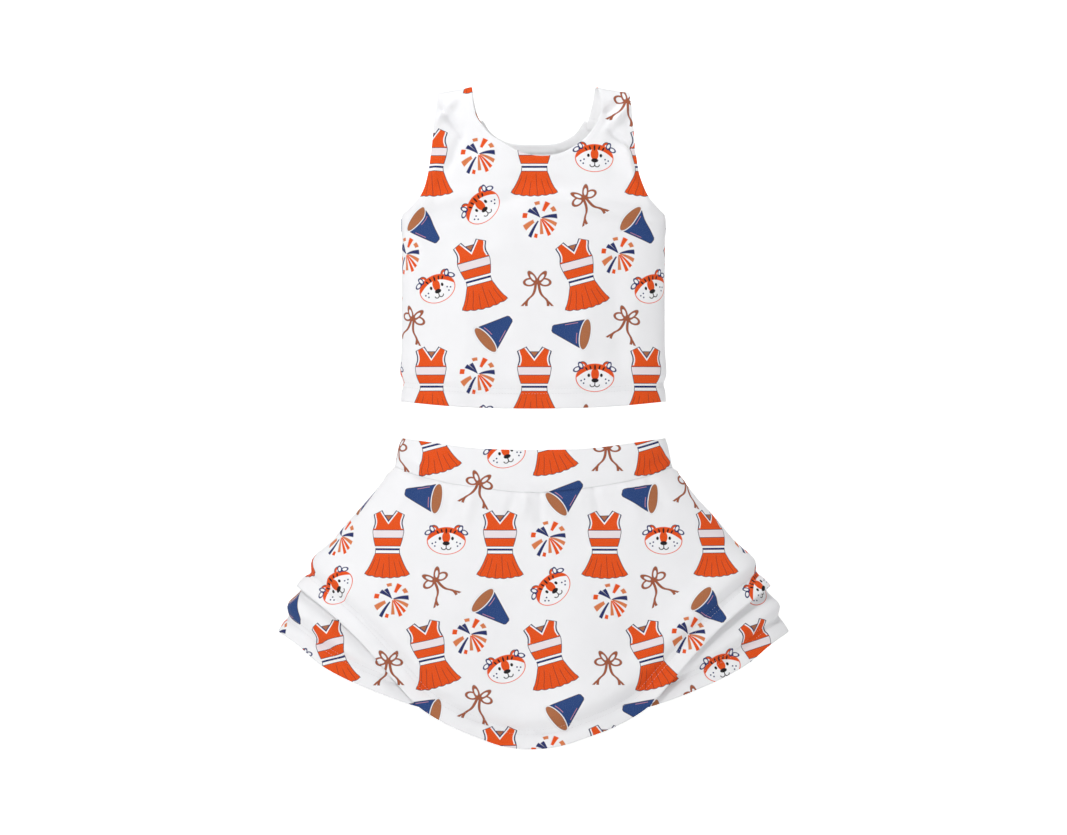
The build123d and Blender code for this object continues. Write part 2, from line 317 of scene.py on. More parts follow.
# Folds: from (u, v) to (u, v) on the cloth, how wide, how high
TOP_FRONT_CREASES = (
    (-140, 246, -58, 262, 8, -1.9), (-136, 262, -50, 276, 9, 1.6), (140, 246, 54, 258, 8, -1.9),
    (138, 262, 46, 270, 9, 1.5), (-66, 258, -8, 276, 9, -2.2), (-12, 274, 66, 262, 8, 1.6),
    (-30, 292, 52, 284, 8, -1.6), (-80, 52, -66, 190, 14, 1.5), (-30, 60, -40, 150, 12, -1.1),
    (44, 52, 58, 170, 13, 1.5), (96, 60, 86, 220, 12, -1.4), (-118, 60, -110, 200, 12, -1.2),
    (20, 235, 90, 205, 9, 1.1), (-20, 220, -96, 196, 10, 1.0), (-92, 300, -84, 380, 7, -1.4),
    (88, 290, 84, 380, 8, -1.5), (70, 305, 40, 330, 6, 1.0), (-70, 305, -40, 328, 6, 1.0),
    (108, 388, 84, 352, 2.6, 2.6), (-106, 390, -86, 350, 2.6, -2.4), (112, 384, 78, 346, 3.8, 3.4),
    (114, 322, 82, 350, 3.6, -3.6), (98, 390, 76, 366, 3, -2.6), (98, 336, 112, 280, 4, 3.0),
    (-84, 386, -108, 356, 3.8, 3.6), (-76, 352, -94, 300, 4, -3.6), (-104, 312, -118, 258, 4.5, 3.0),
    (-100, 376, -76, 334, 3.2, -2.8), (-130, 250, -108, 300, 7, -1.4), (132, 250, 112, 292, 7, 1.5),
)  # fmt: skip
TOP_BACK_CREASES = (
    (-120, 236, -30, 226, 8, -1.2), (120, 238, 34, 228, 8, -1.3), (-70, 60, -60, 200, 14, 1.3),
    (50, 55, 62, 190, 13, -1.2), (0, 50, 6, 160, 14, 1.0), (104, 60, 96, 200, 12, 1.2),
    (-104, 60, -98, 200, 11, -1.2), (70, 320, 76, 392, 4, -1.8), (82, 350, 90, 392, 4, 1.4),
    (-70, 320, -74, 392, 4, 1.6), (-80, 345, -88, 392, 4, -1.6),
)  # fmt: skip
SKIRT_CREASES = (
    (-148, -2, -104, -28, 4, 1.5), (-150, -16, -112, -34, 3.5, -1.3), (149, -6, 112, -26, 4, -1.3),
    (-20, -40, -28, -78, 4.5, -1.6), (-8, -42, -10, -70, 4, 1.4), (4, -43, 8, -84, 5, -1.5),
    (26, -40, 34, -76, 5, 1.2), (-60, -34, -74, -78, 5, 1.3), (-84, -32, -104, -84, 6, -1.3),
    (62, -34, 78, -84, 6, -1.4), (96, -30, 116, -76, 6, 1.3), (124, -24, 146, -62, 6, -1.4),
    (-126, -24, -148, -60, 6, 1.2),
)  # fmt: skip


def skirt_waves(u, v, side):
    """Soft flares that open towards the hem and die out at the side seams."""
    angle = u / SKIRT.width(v)
    drop = smooth_step(-55, -300, v)
    edge = np.cos(np.clip(angle / 1.12, -1, 1) * math.pi / 2) ** 0.7
    shift = 0.4 if side > 0 else 1.5
    wave = np.sin(angle * 8.2 + shift) + 0.55 * np.sin(angle * 13.7 - 1.1 + shift)
    return 4.6 * drop * edge * wave


def drape(form, u, v, side):
    """How far the cloth stands off its form, for every layer alike."""
    out = np.zeros_like(u)
    if form is TORSO:
        for row in TOP_FRONT_CREASES if side > 0 else TOP_BACK_CREASES:
            out += TOP_FOLDS * crease(u, v, *row)
        out *= 1 - smooth_step(0.86, 1.0, np.abs(u) / (HALF_CHEST * _arc[-1]))  # none at the side seams
        return out * (1 - smooth_step(372, SHOULDER + 8, v))
    for row in SKIRT_CREASES:
        out += SKIRT_FOLDS * crease(u * side, v, *row)
    return out + skirt_waves(u, v, side)


# ---------------------------------------------------------------- outlines, seen from the front
def mirrored(points):
    """Points from x = 0 outwards, joined to their mirror image: from -x to +x."""
    return [(-x, z) for x, z in reversed(points) if x > 0] + list(points)


def flipped(points):
    return [(-x, z) for x, z in reversed(points)]


def raised(points, lift):
    return [(x, z + lift) for x, z in points]


def closed(*curves):
    """The curves in order, each joined to the next by a straight line."""
    runs = []
    for i, line in enumerate(curves):
        follower = curves[(i + 1) % len(curves)]
        if len(line) > 1:
            runs.append(list(line))
        if math.dist(line[-1], follower[0]) > 1e-6:
            runs.append([line[-1], follower[0]])
    return runs


def strip(low, high):
    return closed(low, list(reversed(high)))


def top_hem(lift=0.0):
    low = TOP_HEM + lift
    return mirrored([(0, low), (50, low + 0.7), (90, low + 2.6), (142, low + 7.5)])


# The top's lines: (x, z over the line's foot, how much of its growth it takes sideways)
NECK = ((0, 0, 0), (33, 4, 0.4), (47, 13, 0.8), (57, 26, 1), (64, 41, 1), (66, 56, 1), (67, 78, 1))
ARMHOLE = (
    (142, 0, 0), (123, 19, 0.6), (114, 42, 1), (110, 67, 1), (107, 97, 1), (104, 125, 1), (103, 150, 1),
)  # fmt: skip


def neck_half(extra, grow=0.0):
    low = SHOULDER - 61 - extra - grow
    return [(x + grow * share, low + z) for x, z, share in NECK]


def armhole_half(grow=0.0):
    foot = ARMPIT - grow
    return [(x - grow * share, foot + z) for x, z, share in ARMHOLE]


def yoke_half(grow=0.0):
    return [
        (120 - grow, BAND_TOP + 3.3),
        (104 - grow, ARMPIT + 15),
        (85 - grow, ARMPIT + 38),
        (77 - grow, ARMPIT + 62),
        (78 - grow, ARMPIT + 84),
        (84 - grow, STRAP_SEAM),
    ]


def arch(grow=0.0):
    foot = BAND_TOP + 1.5
    rise = ARCH_TOP - foot
    wide = ARCH_HALF + grow
    shares = ((0, 1, 1), (0.3, 0.95, 1), (0.57, 0.73, 0.9), (0.81, 0.4, 0.5), (1, 0, 0))
    return mirrored([(wide * x, foot + rise * z + grow * share) for x, z, share in shares])


def band_edge(lift=0.0):
    low = BAND_TOP + lift
    return mirrored([(0, low), (70, low + 0.8), (120, low + 2.8), (142, low + 4)])


# The skirt's lines from the centre outwards: (x, z, how much of the back's extra drop it takes)
WAIST_TOP = ((0, 0, 1), (64, 2, 0.75), (114, 8.5, 0.3), (143, 12.5, 0))
WAIST_SEAM = ((0, -45, 1), (52, -40.5, 0.85), (111, -30.5, 0.35), (149.8, -17.5, 0))
OVERLAY_HEM = (
    (0, -317, 1), (30, -314, 1), (58, -305, 1), (94, -290, 0.9), (125, -270, 0.75), (148, -245, 0.6),
    (171, -219, 0.5), (188, -201, 0.4), (210, -181, 0.25), (230, -165, 0), (256, -146, 0),
)  # fmt: skip
UNDER_HEM = (
    (0, -286, 1), (45, -284, 1), (90, -279, 1), (130, -270, 1), (171, -256, 1), (200, -244, 1),
    (232, -227, 0.5), (256, -208, 0), (279, -194, 0),
)  # fmt: skip


def skirt_line(table, drop, lift=0.0):
    return mirrored([(x, z + lift - drop * share) for x, z, share in table])


# ---------------------------------------------------------------- meshes
def to_flat(form, run):
    """One run of an outline, on the cloth. A straight run between two side points follows the side seam."""
    line = curve(run)
    if len(run) == 2:
        t = np.linspace(0, 1, 41)[:, None]
        line = line[:1] * (1 - t) + line[-1:] * t
        a = form.width(line[:, 1])
        if run[0][0] * run[1][0] > 0 and all(abs(line[k, 0]) > 0.985 * a[k] for k in (0, -1)):
            line[:, 0] = np.sign(line[0, 0]) * (a + 1)
    return np.stack(form.flat(line[:, 0], line[:, 1]), 1)


def is_inside(points, border):
    x, y = points[:, 0:1], points[:, 1:2]
    x0, y0 = border[:, 0], border[:, 1]
    x1, y1 = np.roll(x0, -1), np.roll(y0, -1)
    rise = np.where(y1 == y0, 1e-9, y1 - y0)
    crossing = ((y0 > y) != (y1 > y)) & (x < x0 + (x1 - x0) * (y - y0) / rise)
    return crossing.sum(1) % 2 == 1


def nearest(points, line):
    """The distance from each point to the nearest segment of an open polyline."""
    a, b = line[:-1], line[1:]
    run = b - a
    best = np.full(len(points), 1e9)
    for k in range(0, len(points), 2000):
        p = points[k : k + 2000, None, :]
        t = np.clip(((p - a) * run).sum(2) / ((run**2).sum(1) + 1e-12), 0, 1)
        gap = np.hypot(*(p - (a + t[..., None] * run)).transpose(2, 0, 1))
        best[k : k + 2000] = gap.min(1)
    return best


def offset_line(line, shift):
    """A polyline moved sideways, to its left where shift is positive."""
    along = np.gradient(line, axis=0)
    along /= np.linalg.norm(along, axis=1)[:, None] + 1e-12
    return line + shift * np.stack([-along[:, 1], along[:, 0]], 1)


class Cloth:
    """The flat cut of a panel: its border on the cloth, and points inside it."""

    def __init__(self, form, side, runs, step=4.0, edges=()):
        self.form, self.side = form, side
        pieces = []
        for run in runs:
            line = to_flat(form, run)
            if np.hypot(*np.diff(line, axis=0).T).sum() > 0.3:
                pieces.append(resample(line, step)[:-1])
        self.border = np.concatenate(pieces)
        ring = np.r_[self.border, self.border[:1]]
        kept = []
        for line, depths in edges:
            for depth in depths:
                row = resample(offset_line(resample(line, 2.0), depth), step * 0.85)
                good = is_inside(row, self.border) & (nearest(row, line) > depth * 0.93)
                good &= nearest(row, ring) > min(depth * 0.85, step * 0.45)
                kept.append(row[good])
        rows = np.concatenate(kept) if kept else np.zeros((0, 2))
        low, high = self.border.min(0), self.border.max(0)
        ys = np.arange(low[1], high[1], step * 0.87)
        grid = []
        for i, y in enumerate(ys):
            start = low[0] + (i % 2) * step / 2
            grid += [(x, y) for x in np.arange(start, high[0], step)]
        grid = np.array(grid).reshape(-1, 2)
        grid = grid[is_inside(grid, self.border)]
        grid = grid[nearest(grid, ring) > step * 0.55]
        for line, depths in edges:
            grid = grid[nearest(grid, line) > max(depths) + step * 0.5]
        points = np.concatenate([self.border, rows, grid])
        n = len(self.border)
        loop = [(i, (i + 1) % n) for i in range(n)]
        out = delaunay_2d_cdt([Vector(p) for p in points.tolist()], loop, [], 1, 1e-4)
        self.uv = np.array([tuple(p) for p in out[0]])
        self.tris = [tuple(f) for f in out[2]]


def lay_print(mesh, flat):
    """Where each vertex lies on the printed cloth, in repeats of the print."""
    layer = mesh.uv_layers.new(name="cloth")
    index = np.zeros(len(mesh.loops), np.int32)
    mesh.loops.foreach_get("vertex_index", index)
    layer.data.foreach_set("uv", flat[index].ravel())


def build(name, cloth, inset, thick, materials, profile=None, print_at=(0.0, 0.0, 1.0, 1.0)):
    """A sheet of cloth with two faces and a rounded rim, from its flat cut."""
    uv = cloth.uv
    u, v = uv[:, 0], uv[:, 1]
    place, normal = cloth.form.solid(u, v, cloth.side)
    lift = drape(cloth.form, u, v, cloth.side)
    if profile is not None:
        lift = lift + profile(uv)
    outer = place + normal * (lift - inset)[:, None]
    inner = outer - normal * thick
    n = len(uv)
    count = {}
    for f in cloth.tris:
        for a, b in ((f[0], f[1]), (f[1], f[2]), (f[2], f[0])):
            count[(a, b)] = 1
    rim = [e for e in count if (e[1], e[0]) not in count]
    rim_ids = sorted({i for e in rim for i in e})
    middle = {i: 2 * n + k for k, i in enumerate(rim_ids)}
    out_dir = np.zeros((n, 3))
    for a, b in rim:
        away = np.cross(outer[b] - outer[a], normal[a]) * (1 if cloth.side > 0 else -1)
        out_dir[a] += away
        out_dir[b] += away
    out_dir /= np.linalg.norm(out_dir, axis=1)[:, None] + 1e-9
    mid = (outer + inner)[rim_ids] / 2 + out_dir[rim_ids] * thick * 0.35
    verts = np.concatenate([outer, inner, mid]) * MM
    faces, slots = [], []
    flip = cloth.side < 0
    for f in cloth.tris:
        faces.append(f[::-1] if flip else f)
        faces.append(tuple(i + n for i in (f if flip else f[::-1])))
        slots += [0, 1]
    for a, b in rim:
        ma, mb = middle[a], middle[b]
        upper, lower = (b, a, ma, mb), (mb, ma, a + n, b + n)
        faces += [upper[::-1], lower[::-1]] if flip else [upper, lower]
        slots += [0, 1]
    obj = mesh_object(name, verts, faces, *materials)
    obj.data.polygons.foreach_set("material_index", [min(s, len(materials) - 1) for s in slots])
    at_x, at_z, run, rise = print_at
    up = v if cloth.form.roof is None else v + 0.75 * (place[:, 2] - v)
    flat = np.stack([(u * cloth.side - at_x) / (TILE * run), (up - at_z) / (TILE * rise)], 1)
    lay_print(obj.data, np.concatenate([flat, flat, flat[rim_ids]]))
    obj["area"] = float(sum_area(uv, cloth.tris)) * MM * MM
    span = uv.max(0) - uv.min(0)
    obj["wide"], obj["tall"] = float(span[0]) * MM, float(span[1]) * MM
    return obj


def sum_area(uv, tris):
    f = np.array(tris)
    p, q, r = uv[f[:, 0]], uv[f[:, 1]], uv[f[:, 2]]
    (ax, ay), (bx, by) = (q - p).T, (r - p).T
    return np.abs(ax * by - ay * bx).sum() / 2


# One dash of thread, in sections: (along it, radius, height over the cloth)
DASH = ((-1.1, 0.04, -0.10), (-0.75, 0.11, 0.03), (0.75, 0.11, 0.03), (1.1, 0.04, -0.10))


def stitches(name, cloth, line, depth, profile, mat, pitch=3.2, inset=0.0):
    """A row of thread dashes along a line, at a depth from the edge."""
    row = resample(offset_line(resample(line, 2.0), depth), pitch / 2)
    keep = is_inside(row, cloth.border) & (nearest(row, line) > depth * 0.93)
    row = row[keep]
    place, normal = cloth.form.solid(row[:, 0], row[:, 1], cloth.side)
    lift = drape(cloth.form, row[:, 0], row[:, 1], cloth.side) + profile(row)
    spot = place + normal * (lift - inset)[:, None]
    verts, faces = [], []
    for i in range(1, len(row) - 1, 2):
        along = spot[i + 1] - spot[i - 1]
        if np.linalg.norm(along) > pitch * 2:
            continue
        along /= np.linalg.norm(along) + 1e-9
        across = np.cross(normal[i], along)
        base = len(verts)
        for reach, radius, rise in DASH:
            centre = spot[i] + along * reach + normal[i] * rise
            for k in range(5):
                turn = k / 5 * 2 * math.pi
                verts.append(centre + radius * (across * math.cos(turn) + normal[i] * math.sin(turn)))
        for s in range(3):
            for k in range(5):
                a, b = base + 5 * s + k, base + 5 * s + (k + 1) % 5
                faces.append((a, a + 5, b + 5, b))
        faces.append(tuple(base + k for k in range(5)))
        faces.append(tuple(base + 15 + k for k in reversed(range(5))))
    return mesh_object(name, np.array(verts) * MM, faces, mat)


# Rows of points laid along an edge, at these depths, so that its small shapes show.
HEM_ROWS = (1.4, 4.5, 8.5, 12.0, 14.1, 15.5, 16.9, 18.0, 19.1, 20.5, 21.9, 24.5)
SKIRT_HEM_ROWS = HEM_ROWS[:-1] + (24.0, 27.5, 31.5)
EDGE_ROWS = (1.3, 3.6, 5.6, 6.8, 8.2, 11.0)
CASING_ROWS = (1.3, 4, 8, 12, 16, 19, 20.7, 22, 23.3, 25.5)
BAND_ROWS = (1.2, 3, 6, 9)
SEAM_ROWS = (1.2, 3, 5.5, 8.5, 12)


def groove(distance, where, wide, deep):
    return -deep * np.exp(-(((distance - where) / wide) ** 2))


def hem_profile(lines, turned=(), flare=1.3, bulge=1.9, ripple=0.25, draw_in=1.1):
    """A hem kicks out at its edge, is drawn in under its two rows of stitching, and bulges above them."""

    def profile(uv):
        out = np.zeros(len(uv))
        for line in lines:
            d = nearest(uv, line)
            out += flare * (1 - smooth_step(0, 19, d))
            out += bulge * smooth_step(18, 31, d) * (1 - smooth_step(31, 62, d))
            out += groove(d, 19.0, 5.5, draw_in)
            for row in ROWS:
                out += groove(d, row, 1.25, 0.6)
            wave = np.sin(uv[:, 0] * 0.55 + 2.0 * np.sin(uv[:, 0] * 0.13)) * np.exp(-(((d - 18) / 7) ** 2))
            out += ripple * wave
        for line in turned:
            d = nearest(uv, line)
            out += 0.45 * (1 - smooth_step(6.5, 9.5, d)) + groove(d, 6.8, 1.1, 0.45)
        return out

    return profile


# ---------------------------------------------------------------- the print, drawn with nodes
def linear(red, green, blue):
    """An sRGB colour, 0 to 255, as Blender's linear light."""
    out = []
    for value in (red, green, blue):
        c = value / 255
        out.append(c / 12.92 if c <= 0.04045 else ((c + 0.055) / 1.055) ** 2.4)
    return (*out, 1.0)


WHITE = linear(243, 243, 245)
ORANGE = linear(227, 79, 10)
RUST = linear(214, 122, 72)
NAVY = linear(34, 44, 98)
BLUE = linear(38, 68, 124)
BROWN = linear(172, 106, 68)
TWINE = linear(160, 86, 58)
BLUSH = linear(234, 224, 228)
DARK = linear(58, 48, 66)
BLACK = linear(24, 18, 22)


class Value:
    """A number somewhere in a node tree, so that sums of nodes read as sums."""

    def __init__(self, ink, socket):
        self.ink, self.socket = ink, socket

    def __add__(self, other):
        return self.ink.sum("ADD", self, other)

    def __sub__(self, other):
        return self.ink.sum("SUBTRACT", self, other)

    def __rsub__(self, other):
        return self.ink.sum("SUBTRACT", other, self)

    def __mul__(self, other):
        return self.ink.sum("MULTIPLY", self, other)

    def __truediv__(self, other):
        return self.ink.sum("DIVIDE", self, other)

    __radd__ = __add__
    __rmul__ = __mul__

    def __abs__(self):
        return self.ink.sum("ABSOLUTE", self)


class Ink:
    """Draws on a running colour, one shape after another."""

    def __init__(self, tree):
        self.tree = tree
        self.colour = None

    def node(self, kind, **settings):
        made = self.tree.nodes.new("ShaderNode" + kind)
        for key, value in settings.items():
            setattr(made, key, value)
        return made

    def plug(self, socket, value):
        if isinstance(value, Value):
            value = value.socket
        if isinstance(value, bpy.types.NodeSocket):
            self.tree.links.new(value, socket)
        else:
            socket.default_value = value

    def sum(self, operation, *terms, clamp=False):
        made = self.node("Math", operation=operation, use_clamp=clamp)
        for socket, term in zip(made.inputs, terms):
            self.plug(socket, term)
        return Value(self, made.outputs[0])

    def line(self, value, slope, start):
        """value * slope + start, in one node."""
        return self.sum("MULTIPLY_ADD", value, slope, start)

    def vector(self, operation, *terms, out=0):
        made = self.node("VectorMath", operation=operation)
        for socket, term in zip(made.inputs, terms):
            self.plug(socket, term)
        return Value(self, made.outputs[out])

    def split(self, vector):
        made = self.node("SeparateXYZ")
        self.plug(made.inputs[0], vector)
        return Value(self, made.outputs[0]), Value(self, made.outputs[1])

    def join(self, x, y):
        made = self.node("CombineXYZ")
        self.plug(made.inputs[0], x)
        self.plug(made.inputs[1], y)
        return Value(self, made.outputs[0])

    def least(self, a, b):
        return self.sum("MINIMUM", a, b)

    def most(self, a, b):
        return self.sum("MAXIMUM", a, b)

    def inside(self, gap, soft=0.4):
        """1 where the signed distance is negative, over a narrow soft edge."""
        return self.sum("MULTIPLY_ADD", gap, -1 / soft, 0.5, clamp=True)

    def graph(self, value, points, low, high, straight=False):
        """A smooth function of a value, given by points (value, result)."""
        reach = self.node("MapRange", clamp=True)
        for socket, term in zip(reach.inputs, (value, low, high, 0.0, 1.0)):
            self.plug(socket, term)
        made = self.node("FloatCurve")
        top = max(p[1] for p in points) * 1.02
        knots = made.mapping.curves[0].points
        while len(knots) < len(points):
            knots.new(0.5, 0.5)
        for knot, (x, y) in zip(knots, sorted(points)):
            knot.location = ((x - low) / (high - low), y / top)
            knot.handle_type = "VECTOR" if straight else "AUTO"
        made.mapping.update()
        self.plug(made.inputs["Value"], Value(self, reach.outputs[0]))
        return Value(self, made.outputs[0]) * top

    def oval(self, place, centre, radii, turn=0.0):
        """Distance from an oval's rim, about in millimetres, negative inside."""
        made = self.node("Mapping", vector_type="TEXTURE")
        self.plug(made.inputs["Vector"], place)
        made.inputs["Location"].default_value = (*centre, 0)
        made.inputs["Rotation"].default_value = (0, 0, math.radians(turn))
        made.inputs["Scale"].default_value = (*radii, 1)
        reach = self.vector("LENGTH", Value(self, made.outputs[0]), out=1)
        return self.line(reach, min(radii), -min(radii))

    def steps(self, value, stops):
        """Flat bands of colour: (where each begins from 0 to 1, colour, alpha)."""
        made = self.node("ValToRGB")
        ramp = made.color_ramp
        ramp.interpolation = "CONSTANT"
        while len(ramp.elements) < len(stops):
            ramp.elements.new(0.5)
        for element, (where, colour, alpha) in zip(ramp.elements, stops):
            element.position = where
        for element, (where, colour, alpha) in zip(ramp.elements, stops):
            element.color = (*colour[:3], alpha)
        self.plug(made.inputs[0], value)
        return Value(self, made.outputs[0]), Value(self, made.outputs[1])

    def mix(self, under, over, amount):
        made = self.node("Mix", data_type="RGBA")
        self.plug(made.inputs[0], amount)
        self.plug(made.inputs[6], under)
        self.plug(made.inputs[7], over)
        return Value(self, made.outputs[2])

    def paint(self, colour, amount):
        self.colour = self.mix(self.colour, colour, amount)

    def fill(self, colour, gap, soft=0.4):
        """Paint where the signed distance is negative."""
        self.paint(colour, self.inside(gap, soft))

    def union(self, *gaps):
        return functools.reduce(self.least, gaps)

    def overlap(self, *gaps):
        return functools.reduce(self.most, gaps)

    def nearest_motif(self, cloth, places):
        """Millimetres from the centre of the nearest of one kind of motif, turned upright."""
        best = place = None
        for x, y, turn in places:
            offset = self.vector("SUBTRACT", cloth, (x, y, 0))
            offset = self.vector("WRAP", offset, (0.5, 0.5, 0.5), (-0.5, -0.5, -0.5))
            turned = self.node("Mapping", vector_type="POINT")
            self.plug(turned.inputs["Vector"], offset)
            turned.inputs["Rotation"].default_value = (0, 0, math.radians(-turn))
            turned.inputs["Scale"].default_value = (TILE, TILE, 0)
            here = Value(self, turned.outputs[0])
            reach = self.vector("LENGTH", here, out=1)
            if best is None:
                best, place = reach, here
                continue
            closer = self.sum("LESS_THAN", reach, best)
            made = self.node("Mix", data_type="VECTOR")
            self.plug(made.inputs[0], closer)
            self.plug(made.inputs[4], place)
            self.plug(made.inputs[5], here)
            place = Value(self, made.outputs[1])
            best = self.least(reach, best)
        return place


# Where each motif sits in the repeat, as a share of the repeat, and how far it is turned in degrees.
DRESSES = ((0.003, -0.003, 0), (0.525, -0.002, 0), (0.209, -0.516, 15), (0.742, -0.517, 15))
CATS = ((0.278, 0.018, 0), (0.762, -0.210, 45), (0.552, -0.577, 18))
POMPOMS = ((0.748, 0.028, 0), (0.031, -0.264, 0), (0.390, -0.425, 0))
BOWS = ((0.230, -0.175, 31), (0.016, -0.558, 0), (0.430, -0.722, -16))
MEGAPHONES = ((0.494, -0.309, -42), (0.169, 0.219, 170), (0.830, 0.225, 41))


def draw_dress(ink, cloth):
    """A pleated cheer dress, 75 mm tall."""
    x, y = ink.split(ink.nearest_motif(cloth, DRESSES))
    ax = abs(x)
    half = (
        (-40, 26.2), (-34.4, 25.4), (-28, 21.6), (-20, 17.6), (-14, 15.2), (-10.8, 14.0),
        (-5, 13.8), (-3, 14.4), (3, 16.2), (9, 17.5), (14, 18.1), (18, 17.3),
        (22, 16.3), (26, 16.6), (29, 17.6), (32, 18.4), (38, 18.4),
    )  # fmt: skip
    half = ink.graph(y, half, -40, 38)
    side = ax - half
    neck = ink.line(ink.most(ax - 4.8, 0.0), 1.45, 31.4)
    shoulder = ink.line(ax, -0.46, 40.4)
    top = y - ink.least(neck, shoulder)
    scallop = abs(ink.sum("SINE", x * 0.38))
    hem = ink.line(ax * ax, 0.006, -37.6) - scallop - y
    edge = ink.overlap(side, top, hem)
    level = ink.line(y, 1 / 80, 0.5)
    bands = (
        (-40, ORANGE, 1), (-11.3, DARK, 1), (-10.7, WHITE, 1), (-7.8, NAVY, 1), (-5.5, WHITE, 0),
        (-3.4, DARK, 1), (-2.7, ORANGE, 1), (5.9, DARK, 1), (6.5, BLUSH, 1), (14.5, DARK, 1),
        (15.1, ORANGE, 1),
    )  # fmt: skip
    stripes, shown = ink.steps(level, [((at + 40) / 80, colour, alpha) for at, colour, alpha in bands])
    across = ink.line(x / half, 3.1, 0.12)
    pleat = abs(ink.sum("SUBTRACT", ink.sum("FRACT", across), 0.5)) * half * 0.32
    start = ink.line(ink.sum("SINE", across * 2.4), 4.5, -18)
    folds = ink.inside(pleat - 0.35, 0.5) * ink.inside(y - start, 4) * 0.8
    colour = ink.mix(stripes, linear(138, 50, 34), folds)
    high = ink.inside(16.5 - y)
    colour = ink.mix(colour, WHITE, ink.inside(-2.7 - side) * high)
    colour = ink.mix(colour, NAVY, ink.inside(-1.2 - side) * high)
    vee = (ax * 1.3 - y + 25.9) * 0.61
    colour = ink.mix(colour, WHITE, ink.inside(vee - 2.8))
    colour = ink.mix(colour, NAVY, ink.inside(vee - 1.3))
    colour = ink.mix(colour, BROWN, ink.inside(vee))
    colour = ink.mix(colour, DARK, ink.inside(-0.45 - edge))
    ink.paint(colour, ink.inside(edge - 0.25) * shown)


def draw_megaphone(ink, cloth):
    """A blue megaphone with a white rim; its mouth is towards -x."""
    place = ink.nearest_motif(cloth, MEGAPHONES)
    x, y = ink.split(place)
    half = ink.line(x, -0.361, 10.8)
    side = (abs(y) - half) * 0.94
    back = ink.line(abs(y), 0.1, -12.9) - x
    cone = ink.overlap(side, x - 20.4, back, abs(y) * 0.8 + x - 22.4)
    ink.fill(DARK, cone - 0.5)
    ink.fill(BLUE, cone + 0.2)
    around = ink.oval(place, (-15.6, 0), (9.2, 21.0))
    rim_line = ink.overlap(abs(around) - 0.3, abs(y - 5.5) - 5.5, -12.0 - x)
    foot = ink.overlap(abs(side + 1.6) - 0.28, abs(x - 1.0) - 6.5, y)
    ink.paint(linear(222, 150, 158), ink.inside(ink.least(rim_line, foot)) * 0.85)
    ink.paint(linear(176, 178, 190), ink.inside(ink.oval(place, (-15.6, 0), (6.9, 18.0))) * 0.35)
    ink.fill(WHITE, ink.oval(place, (-15.6, 0), (6.6, 17.6)))
    ink.fill(linear(132, 84, 66), ink.oval(place, (-15.4, 0), (5.4, 16.3)))
    ink.fill(BROWN, ink.oval(place, (-15.4, 0), (4.9, 15.8)))


def draw_pompom(ink, cloth):
    """A pompom of fourteen flared strands: (direction, colour, from, to, how fast it widens)."""
    x, y = ink.split(ink.nearest_motif(cloth, POMPOMS))
    reach = ink.sum("SQRT", x * x + y * y)
    turn = ink.sum("ARCTAN2", y, x) * (180 / math.pi)
    turn = ink.line(x, 0.7, turn)
    strands = (
        (-158, RUST, 8.0, 20.5, 0.10), (-126, NAVY, 4.0, 23.5, 0.09), (-109, ORANGE, 17.5, 22.0, 0.12),
        (-86, RUST, 1.0, 17.5, 0.10), (-54, ORANGE, 1.0, 21.0, 0.10), (-36, ORANGE, 2.0, 19.5, 0.11),
        (-12, RUST, 1.5, 18.5, 0.095), (20, NAVY, 0.5, 18.0, 0.105), (44, RUST, 14.5, 19.0, 0.12),
        (69, ORANGE, 8.0, 18.5, 0.085), (104, RUST, 14.5, 18.0, 0.12), (116, NAVY, 0.5, 13.5, 0.18),
        (139, NAVY, 0.5, 15.5, 0.155), (156, ORANGE, 14.5, 19.5, 0.12),
    )  # fmt: skip
    n = len(strands)
    spread = [(-180, 0.0)] + [(row[0], (i + 0.5) / n) for i, row in enumerate(strands)] + [(180, 1.0)]
    around = ink.graph(turn, spread, -180, 180, straight=True)
    part = abs(ink.sum("SUBTRACT", ink.sum("FRACT", around * n), 0.5))
    off = part * reach * (2 * math.pi / n)
    far = 24.0  # ramps hold 0 to 1, so lengths are shares of this
    rows = list(enumerate(strands))
    colour, ends = ink.steps(around, [(i / n, row[1], row[3] / far) for i, row in rows])
    widens, begins = ink.steps(around, [(i / n, [row[4]] * 3, row[2] / far) for i, row in rows])
    ends, begins = ends * far, begins * far
    edge = ink.overlap(off - reach * widens - 0.45, reach - ends, begins - reach)
    ink.fill(colour, edge, 0.6)


def draw_bow(ink, cloth):
    """A bow of twine with two loops a side and two forked tails."""
    place = ink.nearest_motif(cloth, BOWS)
    x, y = ink.split(place)
    ax = abs(x)
    place = ink.join(ax, y)
    front = ink.oval(place, (4.8, 5.8), (6.2, 2.5), 53)
    behind = ink.oval(place, (8.2, 0.6), (5.8, 3.7), -4)
    loop = ink.least(abs(front), ink.most(abs(behind), 0.0 - front))
    path = ((-27, 15), (-25, 14), (-22, 12.6), (-18, 9.8), (-12, 4.2), (-7.5, 2.6), (-3, 1.8), (0, 1.4))
    path = ink.graph(y, path, -27, 0)
    fork = ink.most(ink.line(y, -0.42, -8.2), 0.0)
    tail = abs(abs(ax - path) - fork) * 0.8 - 0.25
    tail = ink.most(tail, ink.most(y, -25.0 - y) + 0.8)
    knot = ink.oval(place, (0, 0), (2.0, 1.9)) + 0.8
    edge = ink.union(loop, tail, knot)
    ink.fill(linear(128, 74, 54), edge - 0.9)
    ink.fill(TWINE, edge - 0.6)


